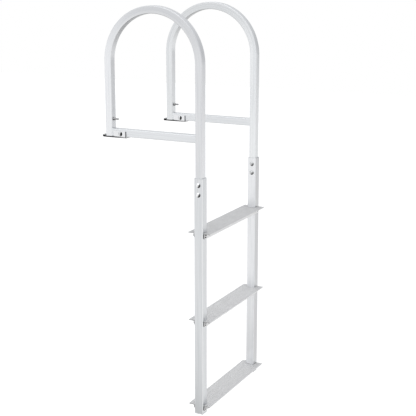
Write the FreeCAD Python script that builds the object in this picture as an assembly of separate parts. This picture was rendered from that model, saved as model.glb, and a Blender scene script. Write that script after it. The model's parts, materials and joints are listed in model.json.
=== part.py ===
"""Dock ladder: two hoop handrails of square tube, adjustable lower rails and three extruded treads.

Millimetres. +Z is up, +X points from the dock out over the water, and +Y runs from the left rail to the
right rail as a climber sees them. The origin is on the underside of the left hinge leaf, straight below
the centre of the left handrail's rear leg, so the plane z = 0 is the top of the deck.
"""
import FreeCAD
import Part
import math
import os

V = FreeCAD.Vector
X_AXIS = V(1, 0, 0)
Y_AXIS = V(0, 1, 0)
Z_AXIS = V(0, 0, 1)

# Overall layout
rail_spacing = 412.0          # centre to centre of the left and right rails, along Y
leg_spacing = 340.0           # centre to centre of a hoop's rear and front legs, along X
hoop_height = 436.0           # deck to the top of the arch
first_tread_drop = 293.0      # deck down to the top of the highest tread
tread_pitch = 305.0           # one step of the ladder
tread_count = 3
rail_top_drop = 111.0         # deck down to the upper end of a side rail
rail_tail = 28.0              # from the top of the lowest tread down to the side rail's lower end

# Square tubes
tube_size = 25.4
tube_wall = 2.0
tube_corner = 2.4
slide_gap = 0.3               # between the handrail tube and the side rail that it slides in
rail_wall = 2.875
rail_corner = 3.0
tube_insertion = 150.0        # length of handrail tube inside the side rail

# Hinge at the dock-side end of each hoop
leaf_thickness = 2.0
leaf_gap = 0.3                # between the leaf on the deck and the saddle above it
saddle_thickness = 2.0
saddle_side_gap = 0.1         # between a saddle cheek and the side of the bar
saddle_reach = 68.5           # from the rear leg's centre to the saddle's water-side end
cheek_start = 20.0            # from the rear leg's centre to the cheeks' dock-side end
cheek_height = 19.0           # of the cheeks, above the underside of the bar
cheek_corner = 3.0
pin_radius = 2.4
barrel_wall = 2.1
pin_gap = 0.08                # running clearance of the pin in its barrels
barrel_end_gap = 0.5          # between neighbouring barrels along the pin
knuckle_offset = 6.8          # from the rear leg's dock face to the pin's axis
middle_barrel_share = 0.42    # length of the saddle's barrel, as a share of the hinge's width
barrel_slot_gap = 1.0         # between a turning barrel and the edge of its slot in the other leaf
pin_head_radius = 3.6
pin_head_length = 1.2
screw_hole_radius = 2.75
screw_sink_radius = 4.9
screw_sink_depth = 1.2
screw_rows_apart = 15.0       # across the leaf, along Y
screw_columns_apart = 52.0    # along the leaf, along X
screw_pattern_centre = 30.0   # from the rear leg's centre

# Bolts
bolt_radius = 3.0
bolt_hole_gap = 0.15
bolt_head_radius = 7.4
bolt_head_height = 3.4
nut_across_flats = 10.0
nut_height = 5.0
bolt_tail = 2.5               # of thread past the nut
saddle_bolt_inset = 23.5      # from the saddle's water-side end, along X
saddle_bolt_height = 9.5      # above the underside of the bar
leg_bolt_height = 61.0        # above the deck
leg_bolt_tail = 13.5
leg_bolt_head_height = 2.4
sleeve_bolt_drop = 22.0       # from the side rail's upper end to the first bolt
sleeve_bolt_pitch = 32.0

# Treads
tread_overhang = 10.6         # past each rail's centre, along Y
tread_depth = 80.0
tread_plate = 2.6
tread_edge = 0.5              # slope along the plate's long edges
rib_count = 10
rib_height = 0.9
rib_width = 2.4
web_thickness = 3.0
web_root = 1.5                # slope where a web meets the plate
tread_side_gap = 0.15         # between a web, or the notch in the plate, and the side of the rail
notch_gap = 0.6               # between the end of the notch and the rail's inner face
tread_bolt_drop = 11.5        # from the tread's top to the bolt's axis
tread_bolt_head_radius = 6.5
tread_bolt_head_height = 3.2

# Plugs in the lower ends of the side rails
cap_lip = 4.5
cap_stem = 11.0
cap_stem_gap = 0.2
cap_edge = 2.2
cap_seat_gap = 0.05           # between the lip and the end of the rail
cap_wall = 2.0

# Sizes that follow from the ones above
rail_size = tube_size + 2 * (slide_gap + rail_wall)
half_tube = tube_size / 2
half_rail = rail_size / 2
bar_base = leaf_thickness + leaf_gap + saddle_thickness
arch_radius = leg_spacing / 2
arch_centre_height = hoop_height - half_tube - arch_radius
rail_top = -rail_top_drop
barrel_radius = pin_radius + pin_gap + barrel_wall
pin_x = -half_tube - knuckle_offset
pin_z = barrel_radius
saddle_bolt_place = saddle_reach - saddle_bolt_inset
hinge_width = tube_size + 2 * (saddle_side_gap + saddle_thickness)
tread_tops = [-first_tread_drop - tread_pitch * step for step in range(tread_count)]
tread_names = ["upper", "middle", "lower"]
rail_bottom = tread_tops[-1] - rail_tail
web_inner = half_rail + tread_side_gap
web_outer = web_inner + web_thickness
web_end_radius = tread_bolt_drop - rib_height
sides = {"left": 0.0, "right": rail_spacing}
outward = {"left": -1, "right": 1}


def rounded_square(size, corner, x=0.0, y=0.0, z=0.0):
    """Closed wire of a square with round corners, flat at height z and centred on x, y."""
    half = size / 2
    flat = half - corner
    slant = corner * (1 - math.sqrt(0.5))
    edges = []
    for quarter in range(4):
        turn = FreeCAD.Rotation(Z_AXIS, 90 * quarter)
        points = [V(half, -flat, 0), V(half, flat, 0), V(half - slant, half - slant, 0), V(flat, half, 0)]
        start, end, middle, after = [turn.multVec(p) + V(x, y, z) for p in points]
        edges.append(Part.LineSegment(start, end).toShape())
        edges.append(Part.Arc(end, middle, after).toShape())
    return Part.Wire(edges)


def sharp_square(size, x=0.0, y=0.0, z=0.0):
    """Closed wire of a square, flat at height z and centred on x, y."""
    half = size / 2
    points = [V(x + dx, y + dy, z) for dx, dy in ((-half, -half), (half, -half), (half, half), (-half, half))]
    return Part.makePolygon(points + points[:1])


def tube_section(size, wall, corner, x=0.0, y=0.0, z=0.0):
    """Ring-shaped face of a square tube, flat at height z."""
    outer = rounded_square(size, corner, x, y, z)
    inner = sharp_square(size - 2 * wall, x, y, z)
    return Part.makeFace([outer, inner], "Part::FaceMakerBullseye")


def block(x0, x1, y0, y1, z0, z1):
    """Box between two corners."""
    return Part.makeBox(x1 - x0, y1 - y0, z1 - z0, V(x0, y0, z0))


def rod(radius, length, start, direction):
    """Round bar of a given length."""
    return Part.makeCylinder(radius, length, start, direction)


def dome(radius, height, base, direction):
    """Shallow round head: the cap of a sphere on a flat base."""
    ball_radius = (radius * radius + height * height) / (2 * height)
    centre = base - direction * (ball_radius - height)
    ball = Part.makeSphere(ball_radius, centre)
    keep = Part.makeCylinder(radius + 1, height + 1, base, direction)
    return ball.common(keep)


def hexagon_prism(across_flats, height, base, direction):
    """Six-sided nut or head on a flat base."""
    radius = across_flats / math.sqrt(3)
    points = [V(radius * math.cos(math.radians(60 * i)), radius * math.sin(math.radians(60 * i)), 0) for i in range(6)]
    face = Part.Face(Part.makePolygon(points + points[:1]))
    prism = face.extrude(V(0, 0, height))
    prism.Placement = FreeCAD.Placement(base, FreeCAD.Rotation(Z_AXIS, direction))
    return prism


def carriage_bolt(start, direction, grip, head_radius, head_height, tail):
    """Dome-head bolt with its nut: start is under the head, and grip is what the bolt holds together."""
    shank = rod(bolt_radius, grip + nut_height + tail, start, direction)
    head = dome(head_radius, head_height, start, direction * -1)
    nut = hexagon_prism(nut_across_flats, nut_height, start + direction * grip, direction)
    return shank.fuse([head, nut]).removeSplitter()


def bolt_hole(start, direction, length):
    """Cutter for a bolt's clearance hole."""
    return rod(bolt_radius + bolt_hole_gap, length, start, direction)


def handrail(y):
    """Hoop of square tube: rear leg, half-round arch, and the front leg that runs on down into the side rail."""
    section = tube_section(tube_size, tube_wall, tube_corner, 0, y, bar_base)
    rear = section.extrude(V(0, 0, arch_centre_height - bar_base))
    arch_start = tube_section(tube_size, tube_wall, tube_corner, 0, y, arch_centre_height)
    arch = arch_start.revolve(V(arch_radius, y, arch_centre_height), Y_AXIS, 180)
    front_bottom = rail_top - tube_insertion
    front_section = tube_section(tube_size, tube_wall, tube_corner, leg_spacing, y, front_bottom)
    front = front_section.extrude(V(0, 0, arch_centre_height - front_bottom))
    hoop = rear.fuse([arch, front]).removeSplitter()
    holes = [bolt_hole(V(-half_tube - 1, y, leg_bolt_height), X_AXIS, tube_size + 2)]
    for z in sleeve_bolt_heights():
        holes.append(bolt_hole(V(leg_spacing, y - half_tube - 1, z), Y_AXIS, tube_size + 2))
    return hoop.cut(holes)


def sleeve_bolt_heights():
    """Heights of the two bolts that fix a handrail in its side rail."""
    first = rail_top - sleeve_bolt_drop
    return [first, first - sleeve_bolt_pitch]


def deck_bar(y):
    """Level tube that closes the hoop along the deck, butted between its two legs."""
    section = tube_section(tube_size, tube_wall, tube_corner)
    section.Placement = FreeCAD.Placement(
        V(half_tube, y, bar_base + half_tube), FreeCAD.Rotation(V(0, 1, 0), 90))
    bar = section.extrude(V(leg_spacing - tube_size, 0, 0))
    hole_height = bar_base + saddle_bolt_height
    return bar.cut(bolt_hole(V(saddle_bolt_place, y - half_tube - 1, hole_height), Y_AXIS, tube_size + 2))


def barrel_ranges(y):
    """Spans along Y of the three barrels: near outer, middle, far outer."""
    half = hinge_width / 2
    middle_half = hinge_width * middle_barrel_share / 2
    outer_start = middle_half + barrel_end_gap
    return [(y - half, y - outer_start), (y - middle_half, y + middle_half), (y + outer_start, y + half)]


def barrel(span):
    """One hinge barrel round the pin's axis, without its bore."""
    return rod(barrel_radius, span[1] - span[0], V(pin_x, span[0], pin_z), Y_AXIS)


def pin_bore(y):
    """Cutter for the pin's bore through all the barrels."""
    return rod(pin_radius + pin_gap, hinge_width + 2, V(pin_x, y - hinge_width / 2 - 1, pin_z), Y_AXIS)


def hinge_leaf(y):
    """Leaf that is screwed to the deck: a flat plate with countersunk holes and the two outer barrels."""
    half = hinge_width / 2
    plate = block(pin_x, saddle_reach, y - half, y + half, 0, leaf_thickness)
    spans = barrel_ranges(y)
    slot_end = pin_x + barrel_radius + barrel_slot_gap
    slot = block(pin_x - 1, slot_end, spans[0][1], spans[2][0], -1, leaf_thickness + 1)
    leaf = plate.cut(slot).fuse([barrel(spans[0]), barrel(spans[2])])
    cutters = [pin_bore(y)]
    for dx in (-screw_columns_apart / 2, screw_columns_apart / 2):
        for dy in (-screw_rows_apart / 2, screw_rows_apart / 2):
            place = V(screw_pattern_centre + dx, y + dy, 0)
            cutters.append(rod(screw_hole_radius, leaf_thickness + 2, place - Z_AXIS, Z_AXIS))
            sink_base = place + V(0, 0, leaf_thickness - screw_sink_depth)
            cutters.append(Part.makeCone(screw_hole_radius, screw_sink_radius, screw_sink_depth, sink_base, Z_AXIS))
    return leaf.cut(cutters).removeSplitter()


def hinge_saddle(y):
    """Upper leaf: a plate under the bar with the middle barrel, and two cheeks that stand beside the bar."""
    half = hinge_width / 2
    spans = barrel_ranges(y)
    base = leaf_thickness + leaf_gap
    web_start = pin_x + barrel_radius + barrel_slot_gap
    web = block(web_start, saddle_reach, y - half, y + half, base, bar_base)
    tongue = block(pin_x, web_start + 1, spans[1][0], spans[1][1], base, bar_base)
    cheeks = []
    for edge in (y - half, y + half - saddle_thickness):
        cheek = block(cheek_start, saddle_reach, edge, edge + saddle_thickness, base, bar_base + cheek_height)
        upper_corners = []
        for e in cheek.Edges:
            along_y = abs(e.tangentAt(e.FirstParameter).y) > 0.9
            if along_y and e.CenterOfMass.z > bar_base + cheek_height - 0.1:
                upper_corners.append(e)
        cheeks.append(cheek.makeFillet(cheek_corner, upper_corners))
    saddle = web.fuse([tongue, barrel(spans[1])] + cheeks)
    hole_height = bar_base + saddle_bolt_height
    cutters = [pin_bore(y), bolt_hole(V(saddle_bolt_place, y - half - 1, hole_height), Y_AXIS, hinge_width + 2)]
    return saddle.cut(cutters).removeSplitter()


def hinge_pin(y):
    """Pin through the three barrels, headed over at both ends."""
    half = hinge_width / 2
    shank = rod(pin_radius, hinge_width, V(pin_x, y - half, pin_z), Y_AXIS)
    heads = [
        dome(pin_head_radius, pin_head_length, V(pin_x, y - half, pin_z), Y_AXIS * -1),
        dome(pin_head_radius, pin_head_length, V(pin_x, y + half, pin_z), Y_AXIS),
    ]
    return shank.fuse(heads).removeSplitter()


def saddle_bolt(y):
    """Dome-head bolt across the saddle and the bar, with its head on the -Y side."""
    start = V(saddle_bolt_place, y - hinge_width / 2, bar_base + saddle_bolt_height)
    return carriage_bolt(start, Y_AXIS, hinge_width, bolt_head_radius, bolt_head_height, bolt_tail)


def leg_bolt(y):
    """Bolt through the rear leg, low head on the dock side and nut towards the water."""
    start = V(-half_tube, y, leg_bolt_height)
    return carriage_bolt(start, X_AXIS, tube_size, bolt_head_radius, leg_bolt_head_height, leg_bolt_tail)


def side_rail(y):
    """Lower rail: the larger square tube that the handrail slides into, and that carries the treads."""
    section = tube_section(rail_size, rail_wall, rail_corner, leg_spacing, y, rail_bottom)
    rail = section.extrude(V(0, 0, rail_top - rail_bottom))
    holes = []
    for z in sleeve_bolt_heights():
        holes.append(bolt_hole(V(leg_spacing, y - half_rail - 1, z), Y_AXIS, rail_size + 2))
    for top in tread_tops:
        holes.append(bolt_hole(V(leg_spacing - half_rail - 1, y, top - tread_bolt_drop), X_AXIS, rail_size + 2))
    return rail.cut(holes)


def sleeve_bolt(y, z):
    """Dome-head bolt that fixes the handrail in the side rail, with its head on the -Y side."""
    start = V(leg_spacing, y - half_rail, z)
    return carriage_bolt(start, Y_AXIS, rail_size, bolt_head_radius, bolt_head_height, bolt_tail)


def tread_outline(top):
    """Closed outline of the tread's extrusion in the XZ plane: a ribbed plate on two webs that straddle the rail."""
    half = tread_depth / 2
    plate_top = top - rib_height
    under = plate_top - tread_plate
    low = top - tread_bolt_drop - web_end_radius
    points = [(-half, plate_top - tread_edge), (-half + tread_edge, plate_top)]
    pitch = tread_depth / rib_count
    for rib in range(rib_count):
        centre = -half + pitch * (rib + 0.5)
        points += [(centre - rib_width / 2, plate_top), (centre - rib_width / 4, top)]
        points += [(centre + rib_width / 4, top), (centre + rib_width / 2, plate_top)]
    points += [(half - tread_edge, plate_top), (half, plate_top - tread_edge), (half, under)]
    web = [(web_outer + web_root, under), (web_outer, under - web_root), (web_outer, low)]
    web += [(web_inner, low), (web_inner, under)]
    points += web
    points += [(-x, z) for x, z in reversed(web)]
    points.append((-half, under))
    return [V(leg_spacing + x, 0, z) for x, z in points]


def tread(top):
    """Extruded tread: the plate is notched round both rails, and the webs run past them with round ends."""
    outline = tread_outline(top)
    face = Part.Face(Part.makePolygon(outline + outline[:1]))
    face.translate(V(0, -tread_overhang, 0))
    plank = face.extrude(V(0, rail_spacing + 2 * tread_overhang, 0))
    bolt_z = top - tread_bolt_drop
    web_bottom = bolt_z - web_end_radius
    under = top - rib_height - tread_plate
    cutters = []
    for side, y in sides.items():
        way = outward[side]
        notch = sorted([y - way * (half_rail + notch_gap), y + way * (tread_overhang + 1)])
        cutters.append(block(leg_spacing - web_inner, leg_spacing + web_inner, notch[0], notch[1],
                             under - 1, top + 1))
        end = sorted([y, y + way * (tread_overhang + 1)])
        corners = block(leg_spacing - web_outer - 1, leg_spacing + web_outer + 1, end[0], end[1],
                        web_bottom - 1, under)
        axis_start = V(leg_spacing - web_outer - 1, y, bolt_z)
        cutters.append(corners.cut(rod(web_end_radius, 2 * web_outer + 2, axis_start, X_AXIS)))
        cutters.append(bolt_hole(axis_start, X_AXIS, 2 * web_outer + 2))
    return plank.cut(cutters)


def tread_bolt(y, top):
    """Dome-head bolt across the side rail and both webs of a tread, with its head towards the water."""
    start = V(leg_spacing + web_outer, y, top - tread_bolt_drop)
    return carriage_bolt(start, X_AXIS * -1, 2 * web_outer, tread_bolt_head_radius, tread_bolt_head_height, bolt_tail)


def rail_cap(y):
    """Plug in the lower end of a side rail: a hollow stem, and a rounded lip as wide as the rail."""
    lip_wire = rounded_square(rail_size, rail_corner, leg_spacing, y, rail_bottom - cap_lip)
    lip = Part.Face(lip_wire).extrude(V(0, 0, cap_lip - cap_seat_gap))
    rim = [e for e in lip.Edges if abs(e.CenterOfMass.z - (rail_bottom - cap_lip)) < 0.01]
    lip = lip.makeFillet(cap_edge, rim)
    stem_size = rail_size - 2 * (rail_wall + cap_stem_gap)
    stem = Part.Face(sharp_square(stem_size, leg_spacing, y, rail_bottom - cap_seat_gap))
    hollow = Part.Face(sharp_square(stem_size - 2 * cap_wall, leg_spacing, y, rail_bottom - cap_seat_gap))
    sleeve = stem.extrude(V(0, 0, cap_stem)).cut(hollow.extrude(V(0, 0, cap_stem + 1)))
    return lip.fuse(sleeve).removeSplitter()


def save(name, shape):
    """Write one named piece, and say what it is made of."""
    if not shape.isValid():
        raise ValueError(name + " is not a valid shape")
    shape.exportStep("parts/" + name + ".step")
    print(name, "solids", len(shape.Solids), "volume", round(shape.Volume, 1))


def build():
    """Make every piece of the ladder."""
    os.makedirs("parts", exist_ok=True)
    for side, y in sides.items():
        save(side + "_hinge_leaf", hinge_leaf(y))
        save(side + "_hinge_pin", hinge_pin(y))
        save(side + "_hinge_saddle", hinge_saddle(y))
        save(side + "_saddle_bolt", saddle_bolt(y))
        save(side + "_handrail", handrail(y))
        save(side + "_deck_bar", deck_bar(y))
        save(side + "_leg_bolt", leg_bolt(y))
        save(side + "_side_rail", side_rail(y))
        for name, z in zip(["upper", "lower"], sleeve_bolt_heights()):
            save(side + "_" + name + "_sleeve_bolt", sleeve_bolt(y, z))
        save(side + "_rail_cap", rail_cap(y))
        for name, top in zip(tread_names, tread_tops):
            save(side + "_" + name + "_tread_bolt", tread_bolt(y, top))
    for name, top in zip(tread_names, tread_tops):
        save(name + "_tread", tread(top))


build()
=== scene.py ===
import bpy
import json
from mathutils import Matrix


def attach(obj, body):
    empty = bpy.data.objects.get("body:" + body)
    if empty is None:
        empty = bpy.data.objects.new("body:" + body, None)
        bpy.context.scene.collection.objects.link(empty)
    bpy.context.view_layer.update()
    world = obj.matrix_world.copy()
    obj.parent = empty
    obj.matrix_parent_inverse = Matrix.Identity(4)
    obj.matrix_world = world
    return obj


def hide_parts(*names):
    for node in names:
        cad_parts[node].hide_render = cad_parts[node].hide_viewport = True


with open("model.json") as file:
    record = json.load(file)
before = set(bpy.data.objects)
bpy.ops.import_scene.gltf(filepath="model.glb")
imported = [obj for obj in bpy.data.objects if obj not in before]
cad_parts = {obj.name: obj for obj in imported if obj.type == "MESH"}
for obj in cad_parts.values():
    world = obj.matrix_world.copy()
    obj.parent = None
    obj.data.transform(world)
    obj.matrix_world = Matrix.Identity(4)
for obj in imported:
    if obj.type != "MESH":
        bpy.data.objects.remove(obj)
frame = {"nodes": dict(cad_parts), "record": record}
"""Dock ladder: the finish of every surface, the two hoops, the bolts and weld beads, and a plain studio.

Blender objects are in metres and in the part's own frame: +X from the dock out over the water, +Y from the
left rail to the right rail, +Z up, with the deck at z = 0. Sizes below are written in millimetres.
"""
import json
import logging
import math
from dataclasses import dataclass
from enum import Enum
from typing import Callable, Optional

import bmesh
import bpy
from mathutils import Matrix, Vector

LOG = logging.getLogger("dock_ladder")
MM = 0.001

Colour = tuple[float, float, float, float]
Point = tuple[float, float, float]


class Side(Enum):
    """The two rails, by the climber's hand that holds them."""

    LEFT = "left"
    RIGHT = "right"


class Step(Enum):
    """The three treads, from the deck down."""

    UPPER = "upper"
    MIDDLE = "middle"
    LOWER = "lower"


class Grain(Enum):
    """Which way a drawn or extruded piece was pulled, so which way its fine lines run."""

    UPRIGHT = "z"
    ALONG = "x"
    ACROSS = "y"
    HOOP = "hoop"


def hex_colour(code: str) -> Colour:
    """Turn an sRGB hex value into a linear colour.

    Args:
        code: six hex digits, with or without a leading hash mark.

    Returns:
        Linear red, green and blue, and an alpha of 1.
    """
    digits = code.lstrip("#")
    values = [int(digits[i:i + 2], 16) / 255 for i in (0, 2, 4)]
    linear = [v / 12.92 if v <= 0.04045 else ((v + 0.055) / 1.055) ** 2.4 for v in values]
    return (linear[0], linear[1], linear[2], 1.0)


def add_node(tree: bpy.types.NodeTree, kind: str, settings: Optional[dict] = None,
             inputs: Optional[dict] = None, links: Optional[dict] = None) -> bpy.types.Node:
    """Add one shader node with its settings, values and links.

    Args:
        tree: the node tree to add to.
        kind: the node's type name.
        settings: attribute names and values.
        inputs: input names or numbers, and their values.
        links: input names or numbers, and the output sockets that feed them.

    Returns:
        The new node.
    """
    node = tree.nodes.new(kind)
    for name, value in (settings or {}).items():
        setattr(node, name, value)
    for name, value in (inputs or {}).items():
        node.inputs[name].default_value = value
    for name, socket in (links or {}).items():
        tree.links.new(socket, node.inputs[name])
    return node


def new_material(name: str) -> tuple[bpy.types.Material, bpy.types.NodeTree, bpy.types.Node, bpy.types.Node]:
    """Start a material with an empty principled shader.

    Args:
        name: the finish's common name.

    Returns:
        The material, its tree, its shader node and its texture coordinate node.
    """
    material = bpy.data.materials.new(name)
    material.use_nodes = True
    tree = material.node_tree
    tree.nodes.clear()
    shader = add_node(tree, "ShaderNodeBsdfPrincipled")
    add_node(tree, "ShaderNodeOutputMaterial", links={"Surface": shader.outputs["BSDF"]})
    coordinates = add_node(tree, "ShaderNodeTexCoord")
    return material, tree, shader, coordinates


def ramp(tree: bpy.types.NodeTree, factor: bpy.types.NodeSocket, stops: list[tuple[float, Colour]]) -> bpy.types.NodeSocket:
    """Turn a factor into a colour through a colour ramp.

    Args:
        tree: the node tree.
        factor: the socket that drives the ramp.
        stops: positions and colours, in rising order.

    Returns:
        The ramp's colour socket.
    """
    node = add_node(tree, "ShaderNodeValToRGB", links={"Fac": factor})
    elements = node.color_ramp.elements
    while len(elements) < len(stops):
        elements.new(0.5)
    for element, (place, colour) in zip(elements, stops):
        element.position = place
        element.color = colour
    return node.outputs["Color"]


@dataclass(frozen=True)
class LadderSizes:
    """Sizes that the visual pieces share with the solids, in millimetres."""

    rail_spacing: float = 412.0
    leg_spacing: float = 340.0
    tube: float = 25.4
    hoop_height: float = 436.0
    bar_base: float = 4.3

    @property
    def half_tube(self) -> float:
        """Half the handrail tube's width."""
        return self.tube / 2

    @property
    def arch_radius(self) -> float:
        """Radius of the arch's centre line."""
        return self.leg_spacing / 2

    @property
    def arch_height(self) -> float:
        """Height of the arch's centre above the deck."""
        return self.hoop_height - self.half_tube - self.arch_radius


SIZES = LadderSizes()


def grain_vector(tree: bpy.types.NodeTree, coordinates: bpy.types.Node, grain: Grain,
                 line_mm: float, stretch: float) -> bpy.types.NodeSocket:
    """Coordinates that are stretched along the way a piece was drawn.

    On a hoop the lines follow the legs and the arch, so one coordinate is the distance from the arch's
    centre, or from the line below it.

    Args:
        tree: the node tree.
        coordinates: the texture coordinate node.
        grain: which way the lines run.
        line_mm: width of one line.
        stretch: how many times longer than wide a line is.

    Returns:
        A vector in units of one line's width.
    """
    fine = 1000.0 / line_mm
    long = fine / stretch
    place = coordinates.outputs["Object"]
    if grain is not Grain.HOOP:
        scale = {Grain.UPRIGHT: (fine, fine, long), Grain.ALONG: (long, fine, fine),
                 Grain.ACROSS: (fine, long, fine)}[grain]
        mapping = add_node(tree, "ShaderNodeMapping", inputs={"Scale": scale}, links={"Vector": place})
        return mapping.outputs["Vector"]
    parts = add_node(tree, "ShaderNodeSeparateXYZ", links={"Vector": place})
    across = add_node(tree, "ShaderNodeMath", {"operation": "SUBTRACT"},
                      {1: SIZES.leg_spacing / 2 * MM}, {0: parts.outputs["X"]})
    above = add_node(tree, "ShaderNodeMath", {"operation": "SUBTRACT"},
                     {1: SIZES.arch_height * MM}, {0: parts.outputs["Z"]})
    raised = add_node(tree, "ShaderNodeMath", {"operation": "MAXIMUM"}, {1: 0.0}, {0: above.outputs[0]})
    flat = add_node(tree, "ShaderNodeCombineXYZ", links={"X": across.outputs[0], "Y": raised.outputs[0]})
    reach = add_node(tree, "ShaderNodeVectorMath", {"operation": "LENGTH"}, links={0: flat.outputs[0]})
    lined = add_node(tree, "ShaderNodeCombineXYZ",
                     links={"X": reach.outputs["Value"], "Y": parts.outputs["Y"], "Z": parts.outputs["Z"]})
    mapping = add_node(tree, "ShaderNodeMapping", inputs={"Scale": (fine, fine, long)},
                       links={"Vector": lined.outputs[0]})
    return mapping.outputs["Vector"]


@dataclass(frozen=True)
class ClearAnodisedAluminium:
    """Drawn aluminium tube, etched and clear anodised: pale, satin, with faint lines along its length; its colour also
    carries painted shade and a painted corner highlight.
    """

    name: str
    grain: Grain
    base: str = "E2E4E6"
    dark_line: str = "DADCDF"
    light_line: str = "E8E9EB"
    roughness: float = 0.36
    line_mm: float = 3.4          # real die lines are finer, and would not show at this size
    stretch: float = 60.0
    grit_mm: float = 0.9
    grit_depth: float = 0.012
    painted_bend_shade: float = 0.0       # painted shade: how much darker the arch and the legs are, by the shares below
    rear_leg_share: float = 0.0   # share of that painted shade on the dock-side leg
    front_leg_share: float = 0.6  # and on the water-side leg
    painted_side_shade: float = 0.0       # painted shade on the faces that don't look along Y
    painted_dock_shade: float = 0.0       # and more painted shade on those near the dock
    painted_under_shade: float = 0.0      # painted shade on its undersides
    corner: str = "F0F1F3"        # painted highlight on its four long, rounded corners

    def shade(self, tree: bpy.types.NodeTree, coordinates: bpy.types.Node,
              frontness: bpy.types.NodeSocket) -> bpy.types.NodeSocket:
        """Share of the colour that is left after the painted shade on the bend, the sides and the underside.

        Args:
            tree: the node tree.
            coordinates: the texture coordinate node.
            frontness: 1 on faces that look along Y, 0 on the others.

        Returns:
            A number from 0 to 1.
        """
        place = add_node(tree, "ShaderNodeSeparateXYZ", links={"Vector": coordinates.outputs["Object"]})
        facing = add_node(tree, "ShaderNodeSeparateXYZ", links={"Vector": coordinates.outputs["Normal"]})
        out = add_node(tree, "ShaderNodeMapRange", inputs={"From Min": 0.0, "From Max": SIZES.leg_spacing * MM,
                       "To Min": self.rear_leg_share, "To Max": self.front_leg_share},
                       links={"Value": place.outputs["X"]})
        up = add_node(tree, "ShaderNodeMapRange", inputs={"From Min": SIZES.arch_height * MM,
                      "From Max": SIZES.hoop_height * MM, "To Min": 0.0, "To Max": 0.75},
                      links={"Value": place.outputs["Z"]})
        # painted shade on the arch and the legs, as a share of its full depth
        painted_bend_share = add_node(tree, "ShaderNodeMath", {"operation": "ADD", "use_clamp": True},
                        links={0: out.outputs["Result"], 1: up.outputs["Result"]})
        front = add_node(tree, "ShaderNodeMath", {"operation": "MULTIPLY_ADD"},
                         {1: -self.painted_bend_shade, 2: 1.0}, {0: painted_bend_share.outputs[0]})
        # painted shade on the faces that don't look along Y, deepest near the dock
        dock = add_node(tree, "ShaderNodeMapRange", {"interpolation_type": "SMOOTHSTEP"},
                        {"From Min": 0.0, "From Max": SIZES.leg_spacing * MM,
                         "To Min": 1.0 - self.painted_side_shade - self.painted_dock_shade, "To Max": 1.0 - self.painted_side_shade},
                        {"Value": place.outputs["X"]})
        # painted shade on the faces that look down
        under = add_node(tree, "ShaderNodeMapRange", {"interpolation_type": "SMOOTHSTEP"},
                         {"From Min": -0.75, "From Max": -0.05, "To Min": 1.0 - self.painted_under_shade, "To Max": 1.0},
                         {"Value": facing.outputs["Z"]})
        either = add_node(tree, "ShaderNodeMix", links={0: frontness, 2: dock.outputs["Result"], 3: front.outputs[0]})
        both = add_node(tree, "ShaderNodeMath", {"operation": "MULTIPLY"},
                        links={0: either.outputs[0], 1: under.outputs["Result"]})
        return both.outputs[0]

    def build(self) -> bpy.types.Material:
        """Make the material."""
        material, tree, shader, coordinates = new_material(self.name)
        vector = grain_vector(tree, coordinates, self.grain, self.line_mm, self.stretch)
        lines = add_node(tree, "ShaderNodeTexNoise", inputs={"Scale": 1.0, "Detail": 3.0, "Roughness": 0.6},
                         links={"Vector": vector})
        colour = ramp(tree, lines.outputs["Fac"], [
            (0.30, hex_colour(self.dark_line)), (0.5, hex_colour(self.base)), (0.72, hex_colour(self.light_line))])
        facing = add_node(tree, "ShaderNodeSeparateXYZ", links={"Vector": coordinates.outputs["Normal"]})
        sideways = add_node(tree, "ShaderNodeMath", {"operation": "ABSOLUTE"}, links={0: facing.outputs["Y"]})
        # painted highlight on the rounded corners, between the faces that look along Y and the others
        edge = add_node(tree, "ShaderNodeMapRange", {"interpolation_type": "SMOOTHSTEP"},
                        {"From Min": 0.08, "From Max": 0.45}, {"Value": sideways.outputs[0]})
        flat = add_node(tree, "ShaderNodeMapRange", {"interpolation_type": "SMOOTHSTEP"},
                        {"From Min": 0.85, "From Max": 0.995, "To Min": 1.0, "To Max": 0.0},
                        {"Value": sideways.outputs[0]})
        painted_corner_highlight = add_node(tree, "ShaderNodeMath", {"operation": "MULTIPLY"},
                           links={0: edge.outputs["Result"], 1: flat.outputs["Result"]})
        with_corner_highlight = add_node(tree, "ShaderNodeMix", {"data_type": "RGBA"}, {7: hex_colour(self.corner)},
                            {0: painted_corner_highlight.outputs[0], 6: colour})
        frontness = add_node(tree, "ShaderNodeMapRange", {"interpolation_type": "SMOOTHSTEP"},
                             {"From Min": 0.3, "From Max": 0.8}, {"Value": sideways.outputs[0]})
        left = self.shade(tree, coordinates, frontness.outputs["Result"])
        shaded = add_node(tree, "ShaderNodeVectorMath", {"operation": "SCALE"},
                          links={0: with_corner_highlight.outputs[2], "Scale": left})
        tree.links.new(shaded.outputs[0], shader.inputs["Base Color"])
        worn = add_node(tree, "ShaderNodeMapRange", inputs={"From Min": 0.3, "From Max": 0.7,
                        "To Min": self.roughness - 0.05, "To Max": self.roughness + 0.06},
                        links={"Value": lines.outputs["Fac"]})
        tree.links.new(worn.outputs["Result"], shader.inputs["Roughness"])
        grit = add_node(tree, "ShaderNodeTexNoise", inputs={"Scale": 1000.0 / self.grit_mm, "Detail": 2.0},
                        links={"Vector": coordinates.outputs["Object"]})
        height = add_node(tree, "ShaderNodeMath", {"operation": "MULTIPLY_ADD"}, {1: 0.5},
                          {0: lines.outputs["Fac"], 2: grit.outputs["Fac"]})
        bump = add_node(tree, "ShaderNodeBump", inputs={"Strength": 0.35, "Distance": self.grit_depth * MM},
                        links={"Height": height.outputs[0]})
        tree.links.new(bump.outputs["Normal"], shader.inputs["Normal"])
        shader.inputs["Metallic"].default_value = 1.0
        return material


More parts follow.
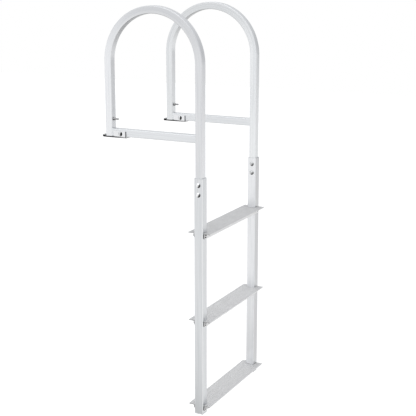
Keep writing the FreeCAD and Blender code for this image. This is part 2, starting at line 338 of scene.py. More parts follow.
@dataclass(frozen=True)
class TreadAluminium:
    """Extruded and tumbled aluminium step: flatter and greyer than the tubes, with a fine sandy mottle."""

    name: str = "mill_finish_tread_aluminium"
    base: str = "E5E5E5"
    dark: str = "DCDCDC"
    light: str = "ECECEC"
    upper_tread_painted_share: float = 0.9      # painted shade: share of that colour left on the upper tread, all of it one pitch lower
    # painted light: the webs and other sides are lighter than the top, for the bright floor they mirror
    side_highlight: str = "F9F9F9"
    side_highlight_dark: str = "F4F4F4"
    painted_end_shade: str = "9A9A9A"          # painted shade on the webs' ends, which face along Y
    plate_end_share: float = 0.6        # share of that painted shade on the plate's own ends
    first_top: float = -293.0
    pitch: float = 305.0
    plate: float = 2.6
    roughness: float = 0.7
    mottle_mm: float = 3.0
    grit_mm: float = 0.8

    def build(self) -> bpy.types.Material:
        """Make the material."""
        material, tree, shader, coordinates = new_material(self.name)
        vector = grain_vector(tree, coordinates, Grain.ACROSS, self.mottle_mm, 14.0)
        lines = add_node(tree, "ShaderNodeTexNoise", inputs={"Scale": 1.0, "Detail": 4.0, "Roughness": 0.65},
                         links={"Vector": vector})
        colour = ramp(tree, lines.outputs["Fac"], [
            (0.30, hex_colour(self.dark)), (0.52, hex_colour(self.base)), (0.74, hex_colour(self.light))])
        facing = add_node(tree, "ShaderNodeSeparateXYZ", links={"Vector": coordinates.outputs["Normal"]})
        topness = add_node(tree, "ShaderNodeMapRange", inputs={"From Min": 0.3, "From Max": 0.8},
                           links={"Value": facing.outputs["Z"]})
        # painted light on the sides, lighter than the top
        side = ramp(tree, lines.outputs["Fac"], [(0.35, hex_colour(self.side_highlight_dark)), (0.6, hex_colour(self.side_highlight))])
        across = add_node(tree, "ShaderNodeMath", {"operation": "ABSOLUTE"}, links={0: facing.outputs["Y"]})
        place = add_node(tree, "ShaderNodeSeparateXYZ", links={"Vector": coordinates.outputs["Object"]})
        # painted shade on the upper tread
        drop = add_node(tree, "ShaderNodeMath", {"operation": "SUBTRACT"}, {0: self.first_top * MM},
                        {1: place.outputs["Z"]})
        upper_tread_painted_shade = add_node(tree, "ShaderNodeMapRange", inputs={"From Max": self.pitch * MM,
                          "To Min": self.upper_tread_painted_share}, links={"Value": drop.outputs[0]})
        top = add_node(tree, "ShaderNodeVectorMath", {"operation": "SCALE"},
                       links={0: colour, "Scale": upper_tread_painted_shade.outputs["Result"]})
        both = add_node(tree, "ShaderNodeMix", {"data_type": "RGBA"},
                        links={0: topness.outputs["Result"], 6: side, 7: top.outputs[0]})
        # painted shade on the ends that look along Y, less of it on the plate
        below = add_node(tree, "ShaderNodeMath", {"operation": "MODULO"}, {1: self.pitch * MM}, {0: drop.outputs[0]})
        webs = add_node(tree, "ShaderNodeMapRange", {"interpolation_type": "SMOOTHSTEP"},
                        {"From Min": self.plate * MM, "From Max": (self.plate + 0.6) * MM, "To Min": self.plate_end_share},
                        {"Value": below.outputs[0]})
        turned = add_node(tree, "ShaderNodeMapRange", inputs={"From Min": 0.2, "From Max": 0.6},
                          links={"Value": across.outputs[0]})
        end_shade_mask = add_node(tree, "ShaderNodeMath", {"operation": "MULTIPLY"},
                       links={0: webs.outputs[0], 1: turned.outputs[0]})
        ends = add_node(tree, "ShaderNodeMix", {"data_type": "RGBA"}, {7: hex_colour(self.painted_end_shade)},
                        {0: end_shade_mask.outputs[0], 6: both.outputs[2]})
        tree.links.new(ends.outputs[2], shader.inputs["Base Color"])
        grit = add_node(tree, "ShaderNodeTexNoise", inputs={"Scale": 1000.0 / self.grit_mm, "Detail": 2.0},
                        links={"Vector": coordinates.outputs["Object"]})
        bump = add_node(tree, "ShaderNodeBump", inputs={"Strength": 0.12, "Distance": 0.01 * MM},
                        links={"Height": grit.outputs["Fac"]})
        tree.links.new(bump.outputs["Normal"], shader.inputs["Normal"])
        shader.inputs["Metallic"].default_value = 1.0
        shader.inputs["Roughness"].default_value = self.roughness
        return material


@dataclass(frozen=True)
class ZincPlatedSteel:
    """Bright zinc-plated bolt: mirror-like, with a painted dark reflection and painted shade on one side."""

    name: str
    base: str = "DADBDC"
    dark: str = "CDCECF"
    painted_dark: str = "303030"
    painted_dark_side: Point = (0.0, 0.0, -1.0)
    painted_dark_both_ways: bool = False     # also on the side opposite to that
    painted_dark_from: float = 0.25
    painted_dark_to: float = 0.7
    roughness: float = 0.09
    grain_mm: float = 1.0

    def build(self) -> bpy.types.Material:
        """Make the material."""
        material, tree, shader, coordinates = new_material(self.name)
        grain = add_node(tree, "ShaderNodeTexNoise", inputs={"Scale": 1000.0 / self.grain_mm, "Detail": 2.0},
                         links={"Vector": coordinates.outputs["Object"]})
        clean = ramp(tree, grain.outputs["Fac"], [(0.35, hex_colour(self.dark)), (0.6, hex_colour(self.base))])
        # painted dark reflection and painted shade on one side of each piece, as the fields above set it
        side = add_node(tree, "ShaderNodeVectorMath", {"operation": "DOT_PRODUCT"}, {1: self.painted_dark_side},
                        {0: coordinates.outputs["Normal"]}).outputs["Value"]
        if self.painted_dark_both_ways:
            side = add_node(tree, "ShaderNodeMath", {"operation": "ABSOLUTE"}, links={0: side}).outputs[0]
        painted_dark_mask = add_node(tree, "ShaderNodeMapRange", {"interpolation_type": "SMOOTHSTEP"},
                        {"From Min": self.painted_dark_from, "From Max": self.painted_dark_to}, {"Value": side})
        both = add_node(tree, "ShaderNodeMix", {"data_type": "RGBA"}, {7: hex_colour(self.painted_dark)},
                        {0: painted_dark_mask.outputs["Result"], 6: clean})
        tree.links.new(both.outputs[2], shader.inputs["Base Color"])
        shader.inputs["Metallic"].default_value = 1.0
        shader.inputs["Roughness"].default_value = self.roughness
        return material


@dataclass(frozen=True)
class ShadedStainless:
    """Stainless hinge plate: polished faces, with painted shade, dark and duller, mostly on the faces that look along
    Y.

    The painted shade is darkest near the pin and at the seam between the two plates; a cheek is dark at its end too.
    Each painted shade is given by two places in millimetres, unshaded metal first.
    """

    name: str
    base: str
    dark: str
    roughness: float
    painted_edge_shade: str
    pin_shade_span: Optional[tuple[float, float]] = None      # along X, darker towards the pin
    base_shade_span: Optional[tuple[float, float]] = None      # along Z, darker towards the deck
    end_shade_span: Optional[tuple[float, float]] = None       # along X, darker towards the water-side end
    line_mm: float = 0.7

    def build(self) -> bpy.types.Material:
        """Make the material."""
        material, tree, shader, coordinates = new_material(self.name)
        vector = grain_vector(tree, coordinates, Grain.ALONG, self.line_mm, 25.0)
        lines = add_node(tree, "ShaderNodeTexNoise", inputs={"Scale": 1.0, "Detail": 3.0}, links={"Vector": vector})
        clean = ramp(tree, lines.outputs["Fac"], [(0.35, hex_colour(self.dark)), (0.6, hex_colour(self.base))])
        place = add_node(tree, "ShaderNodeSeparateXYZ", links={"Vector": coordinates.outputs["Object"]})
        # painted shade: darker towards the pin, towards the deck and at a cheek's end
        painted_shade_mask = None
        for axis, ends, joined in (("X", self.pin_shade_span, ""), ("Z", self.base_shade_span, "MULTIPLY"),
                                   ("X", self.end_shade_span, "MAXIMUM")):
            if ends is None:
                continue
            rising = ends[0] < ends[1]
            low, high = sorted(ends)
            spread = add_node(tree, "ShaderNodeMapRange", {"interpolation_type": "SMOOTHSTEP"},
                              {"From Min": low * MM, "From Max": high * MM,
                               "To Min": 0.0 if rising else 1.0, "To Max": 1.0 if rising else 0.0},
                              {"Value": place.outputs[axis]})
            if painted_shade_mask is not None:
                spread = add_node(tree, "ShaderNodeMath", {"operation": joined}, links={0: spread.outputs[0], 1: painted_shade_mask})
            painted_shade_mask = spread.outputs[0]
        facing = add_node(tree, "ShaderNodeSeparateXYZ", links={"Vector": coordinates.outputs["Normal"]})
        sideways = add_node(tree, "ShaderNodeMath", {"operation": "ABSOLUTE"}, links={0: facing.outputs["Y"]})
        edge = add_node(tree, "ShaderNodeMapRange", inputs={"From Min": 0.3, "From Max": 0.7, "To Min": 0.12},
                        links={"Value": sideways.outputs[0]})
        painted_shade_mask = add_node(tree, "ShaderNodeMath", {"operation": "MULTIPLY"},
                        links={0: edge.outputs["Result"], 1: painted_shade_mask}).outputs[0]
        both = add_node(tree, "ShaderNodeMix", {"data_type": "RGBA"}, {7: hex_colour(self.painted_edge_shade)}, {0: painted_shade_mask, 6: clean})
        tree.links.new(both.outputs[2], shader.inputs["Base Color"])
        worn = add_node(tree, "ShaderNodeMapRange", inputs={"To Min": self.roughness, "To Max": self.roughness + 0.15},
                        links={"Value": painted_shade_mask})
        tree.links.new(worn.outputs["Result"], shader.inputs["Roughness"])
        shader.inputs["Metallic"].default_value = 1.0
        return material


@dataclass(frozen=True)
class MouldedPlug:
    """Moulded grey plastic end plug, slightly grained."""

    name: str = "moulded_grey_polyethylene"
    base: str = "D2D4D4"
    dark: str = "C8CBCB"
    roughness: float = 0.5
    grain_mm: float = 1.2

    def build(self) -> bpy.types.Material:
        """Make the material."""
        material, tree, shader, coordinates = new_material(self.name)
        grain = add_node(tree, "ShaderNodeTexNoise", inputs={"Scale": 1000.0 / self.grain_mm, "Detail": 3.0},
                         links={"Vector": coordinates.outputs["Object"]})
        colour = ramp(tree, grain.outputs["Fac"], [(0.3, hex_colour(self.dark)), (0.6, hex_colour(self.base))])
        tree.links.new(colour, shader.inputs["Base Color"])
        bump = add_node(tree, "ShaderNodeBump", inputs={"Strength": 0.4, "Distance": 0.03 * MM},
                        links={"Height": grain.outputs["Fac"]})
        tree.links.new(bump.outputs["Normal"], shader.inputs["Normal"])
        shader.inputs["Roughness"].default_value = self.roughness
        return material


@dataclass
class FrameFinishes:
    """Gives each solid of the frame the finish of the real piece, with painted shade and painted highlights."""

    left_hoop: ClearAnodisedAluminium = ClearAnodisedAluminium(
        "anodised_left_hoop", Grain.HOOP, base="F2F3F5", dark_line="E7E9EC", light_line="F8F9FA",
        painted_bend_shade=0.2, front_leg_share=0.69, painted_side_shade=0.06, painted_dock_shade=0.09, painted_under_shade=0.42)
    right_hoop: ClearAnodisedAluminium = ClearAnodisedAluminium(
        "anodised_right_hoop", Grain.HOOP, base="F2F4F5", dark_line="E8EAEC", light_line="F8F9FA",
        painted_bend_shade=0.19, rear_leg_share=0.38, front_leg_share=0.0, painted_side_shade=0.06, painted_under_shade=0.4)
    bar: ClearAnodisedAluminium = ClearAnodisedAluminium("anodised_bar_tube", Grain.ALONG, base="E8EAEC", dark_line="E0E2E5", light_line="EEF0F1",
        corner="ECEEEF", painted_under_shade=0.3)
    # painted shade: the left rail's base is darker than the right rail's, a shaded copy of the same finish
    left_rail: ClearAnodisedAluminium = ClearAnodisedAluminium(
        "anodised_left_rail", Grain.UPRIGHT, base="DFE1E3", dark_line="D2D5D7", light_line="E9EAEC",
        corner="F0F1F2")
    right_rail: ClearAnodisedAluminium = ClearAnodisedAluminium(
        "anodised_right_rail", Grain.UPRIGHT, base="F1F2F4", dark_line="E6E8EA", light_line="F7F8F9",
        painted_side_shade=0.27)
    saddle: ShadedStainless = ShadedStainless(
        "polished_stainless_steel", "EFF0F2", "E4E5E7", 0.14, "666667",
        pin_shade_span=(95.0, 10.0), base_shade_span=(5.6, 3.6), end_shade_span=(64.0, 65.4))
    # painted shade: the leaf's base is far darker than the saddle's, standing in for the dark it mirrors
    leaf: ShadedStainless = ShadedStainless(
        "stainless_steel_painted_dark", "B0B0B0", "A4A4A4", 0.16, "161514", pin_shade_span=(78.0, 22.0), base_shade_span=(7.4, 5.0))

    def dress(self) -> dict[str, bpy.types.Material]:
        """Put the materials on the solids.

        Returns:
            The materials by the record's slot names, and by the names of pieces that have their own.
        """
        by_slot = {
            "tube": self.left_hoop.build(), "rail": self.left_rail.build(), "tread": TreadAluminium().build(),
            "stainless": self.saddle.build(), "fastener": ZincPlatedSteel("zinc_plated_steel").build(),
            "plug": MouldedPlug().build(),
        }
        by_piece = {"deck_bar": self.bar.build(), "hinge_leaf": self.leaf.build(),
                    "right_side_rail": self.right_rail.build(), "right_handrail": self.right_hoop.build()}
        by_piece["hinge_pin"] = by_piece["hinge_leaf"]
        for part in frame["record"]["subparts"]:
            node = frame["nodes"][part["node"]]
            material = by_slot[part["material_slot"]]
            for ending, own in by_piece.items():
                if part["node"].endswith(ending):
                    material = own
            if node.material_slots:
                for slot in node.material_slots:
                    slot.material = material
            else:
                node.data.materials.append(material)
        LOG.info("finished %d solids", len(frame["nodes"]))
        return by_slot | by_piece


def start_editing(piece: bpy.types.Object, mode: str = "VERT") -> None:
    """Make one piece active and open it in edit mode with nothing selected.

    Args:
        piece: the piece to shape.
        mode: what is selected by hand next: VERT, EDGE or FACE.
    """
    bpy.ops.object.select_all(action="DESELECT")
    piece.select_set(True)
    bpy.context.view_layer.objects.active = piece
    bpy.ops.object.mode_set(mode="EDIT")
    bpy.ops.mesh.select_mode(type=mode)
    bpy.ops.mesh.select_all(action="DESELECT")


def select_where(piece: bpy.types.Object, kind: str, test: Callable[..., bool]) -> None:
    """Select the edit-mode vertices, edges or faces that pass a test.

    Args:
        piece: the piece in edit mode.
        kind: verts, edges or faces.
        test: says whether an element is selected.
    """
    mesh = bmesh.from_edit_mesh(piece.data)
    for element in getattr(mesh, kind):
        element.select_set(bool(test(element)))
    mesh.select_flush_mode()
    bmesh.update_edit_mesh(piece.data)


def finish_editing(angle: float) -> None:
    """Turn faces outwards, leave edit mode and smooth the faces up to an angle.

    Args:
        angle: sharpest smooth edge, in degrees.
    """
    bpy.ops.mesh.select_all(action="SELECT")
    bpy.ops.mesh.normals_make_consistent(inside=False)
    bpy.ops.object.mode_set(mode="OBJECT")
    bpy.ops.object.shade_smooth_by_angle(angle=math.radians(angle))


def add_to_model(piece: bpy.types.Object, name: str, material: Optional[bpy.types.Material] = None,
                 body: str = "ladder") -> None:
    """Name a finished piece, dress it and say which body it rides on.

    Args:
        piece: the finished piece.
        name: its name.
        material: its finish, or None where it has one.
        body: the body that carries it.
    """
    piece.name = name
    piece.data.name = name
    if material is not None:
        piece.data.materials.append(material)
    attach(piece, body)
    LOG.info("made %s", name)


def copied(piece: bpy.types.Object, place: Matrix) -> bpy.types.Object:
    """Copy a piece, with a mesh of its own, to another place.

    Args:
        piece: the piece to copy.
        place: how the copy's mesh is turned and moved.

    Returns:
        The copy, with its object at the origin.
    """
    twin = piece.copy()
    twin.data = piece.data.copy()
    twin.data.transform(place)
    bpy.context.collection.objects.link(twin)
    return twin


@dataclass(frozen=True)
class Handrails:
    """The two hoops of square tube: rear leg, half-round arch, and the front leg that runs on into the rail."""

    rear_base: float = 4.3
    front_base: float = -261.0
    wall: float = 2.0
    corner: float = 2.4
    corner_steps: int = 5
    arch_steps: int = 80
    open_depth: float = 60.0      # how far the open ends are hollow; the rest is out of sight

    def hoop(self) -> bpy.types.Object:
        """Run a square with round corners up the rear leg, round the arch and down the front leg."""
        bpy.ops.mesh.primitive_plane_add(size=SIZES.tube * MM, location=(0, 0, self.rear_base * MM))
        hoop = bpy.context.object
        bpy.ops.object.transform_apply(location=True, rotation=True, scale=True)
        start_editing(hoop)
        bpy.ops.mesh.select_all(action="SELECT")
        bpy.ops.mesh.bevel(offset=self.corner * MM, segments=self.corner_steps, affect="VERTICES")
        bpy.ops.mesh.select_mode(type="FACE")
        bpy.ops.mesh.select_all(action="SELECT")
        bpy.ops.mesh.extrude_region_move(
            TRANSFORM_OT_translate={"value": (0, 0, (SIZES.arch_height - self.rear_base) * MM)})
        bpy.ops.mesh.spin(steps=self.arch_steps, angle=-math.pi, axis=(0, 1, 0),
                          center=(SIZES.arch_radius * MM, 0, SIZES.arch_height * MM))
        bpy.ops.mesh.extrude_region_move(
            TRANSFORM_OT_translate={"value": (0, 0, (self.front_base - SIZES.arch_height) * MM)})
        select_where(hoop, "faces", lambda f: len(f.verts) > 4)
        bpy.ops.mesh.inset(thickness=self.wall * MM, depth=0.0)
        bpy.ops.mesh.extrude_region_move(TRANSFORM_OT_translate={"value": (0, 0, self.open_depth * MM)})
        bpy.ops.mesh.select_all(action="SELECT")
        bpy.ops.mesh.remove_doubles(threshold=1e-6)
        finish_editing(35)
        bpy.ops.object.modifier_add(type="WEIGHTED_NORMAL")
        hoop.modifiers[-1].keep_sharp = True
        bpy.ops.object.modifier_apply(modifier=hoop.modifiers[-1].name)
        return hoop

    def build(self, left: bpy.types.Material, right: bpy.types.Material) -> None:
        """Make the left hoop and copy it to the right.

        Args:
            left: the finish of the left hoop.
            right: the finish of the right one.
        """
        hoop = self.hoop()
        twin = copied(hoop, Matrix.Translation((0, SIZES.rail_spacing * MM, 0)))
        for piece, side, finish in ((hoop, Side.LEFT, left), (twin, Side.RIGHT, right)):
            add_to_model(piece, f"{side.value}_hoop", finish)
            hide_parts(f"{side.value}_handrail")


@dataclass(frozen=True)
class BoltKind:
    """Dome-head bolt with its nut, along +Z: the head's flat underside is at z = 0. Millimetres."""

    grip: float
    head_radius: float = 7.4
    head_height: float = 3.4
    tail: float = 2.5
    radius: float = 3.0
    root_depth: float = 0.45
    pitch: float = 1.0
    nut_flats: float = 10.0
    nut_height: float = 5.0
    edge: float = 0.45
    around: int = 40

    def head(self) -> bpy.types.Object:
        """Cut the dome from a ball, and round its rim."""
        ball = (self.head_radius ** 2 + self.head_height ** 2) / (2 * self.head_height)
        bpy.ops.mesh.primitive_uv_sphere_add(
            segments=self.around, ring_count=self.around + 8, radius=ball * MM,
            location=(0, 0, (ball - self.head_height) * MM))
        dome = bpy.context.object
        bpy.ops.object.transform_apply(location=True, rotation=True, scale=True)
        start_editing(dome)
        bpy.ops.mesh.select_all(action="SELECT")
        bpy.ops.mesh.bisect(plane_co=(0, 0, 0), plane_no=(0, 0, 1), use_fill=True, clear_outer=True)
        select_where(dome, "edges", lambda e: all(abs(v.co.z) < 1e-6 for v in e.verts) and len(e.link_faces) == 2)
        bpy.ops.mesh.bevel(offset=self.edge * MM, segments=2, affect="EDGES")
        finish_editing(50)
        return dome

    def nut(self) -> bpy.types.Object:
        """Make the six-sided nut with eased edges and a turned seat."""
        bpy.ops.mesh.primitive_cylinder_add(
            vertices=6, radius=self.nut_flats / math.sqrt(3) * MM, depth=self.nut_height * MM,
            location=(0, 0, (self.grip + self.nut_height / 2) * MM))
        nut = bpy.context.object
        bpy.ops.object.transform_apply(location=True, rotation=True, scale=True)
        start_editing(nut, "EDGE")
        bpy.ops.mesh.select_all(action="SELECT")
        bpy.ops.mesh.bevel(offset=self.edge * MM, segments=2, affect="EDGES")
        top = (self.grip + self.nut_height) * MM
        bpy.ops.mesh.select_mode(type="FACE")
        select_where(nut, "faces", lambda f: f.normal.z > 0.99 and abs(f.calc_center_median().z - top) < 1e-6)
        bpy.ops.mesh.inset(thickness=self.edge * MM, depth=0.0)
        bpy.ops.mesh.inset(thickness=self.edge * MM, depth=-self.edge * MM / 2)
        finish_editing(35)
        return nut

    def thread(self) -> bpy.types.Object:
        """Turn the threaded end. Its grooves are rings a pitch apart, which look as a helix does at this size."""
        start = self.grip + self.nut_height - self.pitch
        end = self.grip + self.nut_height + self.tail
        bpy.ops.mesh.primitive_circle_add(
            vertices=self.around // 2, radius=(self.radius - self.root_depth) * MM, fill_type="NGON",
            location=(0, 0, start * MM))
        rod = bpy.context.object
        bpy.ops.object.transform_apply(location=True, rotation=True, scale=True)
        start_editing(rod, "FACE")
        bpy.ops.mesh.select_all(action="SELECT")
        height = start
        crest = self.radius / (self.radius - self.root_depth)
        while height + self.pitch < end:
            for scale in (crest, 1 / crest):
                bpy.ops.mesh.extrude_region_move(
                    TRANSFORM_OT_translate={"value": (0, 0, self.pitch / 2 * MM)})
                bpy.ops.transform.resize(value=(scale, scale, 1), center_override=(0, 0, 0))
            height += self.pitch
        bpy.ops.mesh.extrude_region_move(TRANSFORM_OT_translate={"value": (0, 0, (end - height) * MM)})
        bpy.ops.transform.resize(value=(0.9, 0.9, 1), center_override=(0, 0, 0))
        finish_editing(25)
        return rod

    def build(self, head: bpy.types.Material, nut: bpy.types.Material) -> bpy.types.Object:
        """Join head, nut and threaded end into one piece at the origin.

        Args:
            head: the finish of the head.
            nut: the finish of the nut and the thread.

        Returns:
            The joined bolt.
        """
        parts = [self.head(), self.nut(), self.thread()]
        for part, finish in zip(parts, (head, nut, nut)):
            part.data.materials.append(finish)
        bpy.ops.object.select_all(action="DESELECT")
        for part in parts:
            part.select_set(True)
        bpy.context.view_layer.objects.active = parts[0]
        bpy.ops.object.join()
        bpy.context.object.location = (0, 0, 0)
        return bpy.context.object


@dataclass
class Fasteners:
    """The fourteen dome-head bolts, each with a real nut and a thread, in place of the plain solids."""

    rail: float = 31.75
    hinge_width: float = 29.6
    web_outer: float = 19.025
    saddle_bolt: tuple[float, float] = (45.0, 9.5)       # along the bar, and above its underside
    leg_bolt_height: float = 61.0
    sleeve_bolt_heights: tuple[float, float] = (-133.0, -165.0)
    tread_bolt_heights: tuple[float, float, float] = (-304.5, -609.5, -914.5)
    # painted reflections and shade: each head has a painted dark crescent, the left sleeve heads are a brighter copy
    # and the right ones a darker copy of one finish, and the nuts are painted darker underneath
    saddle_head: ZincPlatedSteel = ZincPlatedSteel(
        "zinc_plated_steel_painted_black_crescent", painted_dark="020202", painted_dark_side=(0.99, 0.0, -0.12), painted_dark_from=0.12, painted_dark_to=0.22)
    sleeve_head: ZincPlatedSteel = ZincPlatedSteel(
        "zinc_plated_steel_painted_grey_crescent", "FAFAFB", "F2F3F4", painted_dark="4A4A4A", painted_dark_side=(0.85, 0.0, -0.5), painted_dark_from=-0.12, painted_dark_to=0.4)
    right_sleeve_head: ZincPlatedSteel = ZincPlatedSteel(
        "shaded_zinc_plated_steel_painted_crescent", "D4D5D6", "C8C9CA", painted_dark="727272", painted_dark_side=(0.7, 0.0, -0.71),
        painted_dark_from=-0.1, painted_dark_to=0.45, roughness=0.2)
    tread_head: ZincPlatedSteel = ZincPlatedSteel(
        "zinc_plated_steel_painted_dark_rims", painted_dark_side=(0.0, 0.3, 0.95), painted_dark_both_ways=True, painted_dark_from=0.12, painted_dark_to=0.4)
    nut: ZincPlatedSteel = ZincPlatedSteel(
        "dull_zinc_plated_steel", "C8C8C8", "B0B0B0", painted_dark_from=0.1, painted_dark_to=0.6, roughness=0.3)

    def place(self, pattern: bpy.types.Object, node: str, start: Point, way: Point) -> None:
        """Put one copy of a kind of bolt where its solid is.

        Args:
            pattern: the finished bolt to copy.
            node: the solid that it stands for.
            start: the middle of the head's underside.
            way: the direction from the head to the nut.
        """
        turn = Vector((0, 0, 1)).rotation_difference(Vector(way)).to_matrix().to_4x4()
        piece = copied(pattern, Matrix.Translation(Vector(start) * MM) @ turn)
        add_to_model(piece, node + "_threaded")
        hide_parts(node)

    def build(self, material: bpy.types.Material) -> None:
        """Make all the bolts.

        Args:
            material: the finish of the leg bolts' heads.
        """
        nut = self.nut.build()
        saddle = BoltKind(self.hinge_width, head_radius=8.2).build(self.saddle_head.build(), nut)
        leg = BoltKind(SIZES.tube, head_height=2.4, tail=13.5).build(material, nut)
        sleeves = {side: BoltKind(self.rail, head_radius=8.2).build(finish.build(), nut) for side, finish in
                   ((Side.LEFT, self.sleeve_head), (Side.RIGHT, self.right_sleeve_head))}
        tread = BoltKind(2 * self.web_outer, head_radius=6.5, head_height=3.2).build(self.tread_head.build(), nut)
        for side, y in ((Side.LEFT, 0.0), (Side.RIGHT, SIZES.rail_spacing)):
            along, above = self.saddle_bolt
            self.place(saddle, f"{side.value}_saddle_bolt",
                       (along, y - self.hinge_width / 2, SIZES.bar_base + above), (0, 1, 0))
            self.place(leg, f"{side.value}_leg_bolt", (-SIZES.half_tube, y, self.leg_bolt_height), (1, 0, 0))
            for name, height in zip(("upper", "lower"), self.sleeve_bolt_heights):
                self.place(sleeves[side], f"{side.value}_{name}_sleeve_bolt",
                           (SIZES.leg_spacing, y - self.rail / 2, height), (0, 1, 0))
            for step, height in zip(Step, self.tread_bolt_heights):
                self.place(tread, f"{side.value}_{step.value}_tread_bolt",
                           (SIZES.leg_spacing + self.web_outer, y, height), (-1, 0, 0))
        for pattern in (saddle, leg, *sleeves.values(), tread):
            bpy.data.meshes.remove(pattern.data)


@dataclass(frozen=True)
class WeldedAluminium:
    """Bead of filler aluminium: mottled, rougher and a little greyer than the tube."""

    name: str = "welded_filler_aluminium"
    base: str = "F2F3F4"
    dark: str = "E2E4E6"
    roughness: float = 0.5
    grain_mm: float = 1.6

    def build(self) -> bpy.types.Material:
        """Make the material."""
        material, tree, shader, coordinates = new_material(self.name)
        grain = add_node(tree, "ShaderNodeTexNoise", inputs={"Scale": 1000.0 / self.grain_mm, "Detail": 3.0},
                         links={"Vector": coordinates.outputs["Object"]})
        colour = ramp(tree, grain.outputs["Fac"], [(0.35, hex_colour(self.dark)), (0.62, hex_colour(self.base))])
        tree.links.new(colour, shader.inputs["Base Color"])
        shader.inputs["Metallic"].default_value = 1.0
        shader.inputs["Roughness"].default_value = self.roughness
        return material


@dataclass
class WeldBeads:
    """Beads that fill the groove between each end of a deck bar and a leg's round corner. Millimetres."""

    bead_radius: float = 1.7
    depth: float = 1.1            # from the bar's faces in to the bead's middle
    shift: float = 0.9            # from the bar's end on to the bead's middle, into the groove
    corner: float = 1.6
    ripple: float = 1.15         # between a ripple's crest and its hollow
    hollow: float = 0.8          # a hollow's radius, as a share of a crest's

    def bead(self, x: float, closed: bool) -> bpy.types.Object:
        """Lay one bead round an end of the left bar.

        Args:
            x: where the leg's face is, shifted to the bead's middle.
            closed: whether the bead goes on under the bar, where no hinge plate lies against it.

        Returns:
            The bead as a mesh.
        """
        width = SIZES.tube - 2 * self.depth
        centre = Vector((x, 0.0, SIZES.bar_base + SIZES.half_tube)) * MM
        bpy.ops.mesh.primitive_plane_add(size=width * MM, location=centre, rotation=(0, math.pi / 2, 0))
        path = bpy.context.object
        bpy.ops.object.transform_apply(location=True, rotation=True, scale=True)
        start_editing(path)
        bpy.ops.mesh.select_all(action="SELECT")
        bpy.ops.mesh.delete(type="ONLY_FACE")
        bpy.ops.mesh.select_all(action="SELECT")
        bpy.ops.mesh.bevel(offset=self.corner * MM, segments=3, affect="VERTICES")
        low = centre.z - width / 2 * MM
        if not closed:
            bpy.ops.mesh.select_mode(type="EDGE")
            select_where(path, "edges", lambda e: all(v.co.z < low + self.corner * MM * 0.9 for v in e.verts))
            bpy.ops.mesh.delete(type="EDGE")
        cuts = int((width - 2 * self.corner) / self.ripple)
        bpy.ops.mesh.select_mode(type="EDGE")
        select_where(path, "edges", lambda e: e.calc_length() > width / 2 * MM)
        bpy.ops.mesh.subdivide(number_cuts=cuts)
        bpy.ops.object.mode_set(mode="OBJECT")
        bpy.ops.object.convert(target="CURVE")
        curve = bpy.context.object.data
        curve.bevel_depth = self.bead_radius * MM
        curve.bevel_resolution = 3
        curve.use_fill_caps = True
        for spline in curve.splines:
            for number, point in enumerate(spline.points):
                point.radius = self.hollow if number % 2 else 1.0
        bpy.ops.object.convert(target="MESH")
        bead = bpy.context.object
        start_editing(bead)
        bpy.ops.mesh.select_all(action="SELECT")
        bpy.ops.mesh.remove_doubles(threshold=1e-6)
        finish_editing(60)
        return bead

    def build(self, material: bpy.types.Material) -> None:
        """Lay the beads of both hoops.

        Args:
            material: the finish of the beads.
        """
        shift = SIZES.half_tube - self.shift
        across = Matrix.Translation((0, SIZES.rail_spacing * MM, 0))
        for leg, x, closed in (("rear", shift, False), ("front", SIZES.leg_spacing - shift, True)):
            bead = self.bead(x, closed)
            twin = copied(bead, across)
            add_to_model(bead, f"{Side.LEFT.value}_{leg}_leg_weld", material)
            add_to_model(twin, f"{Side.RIGHT.value}_{leg}_leg_weld", material)


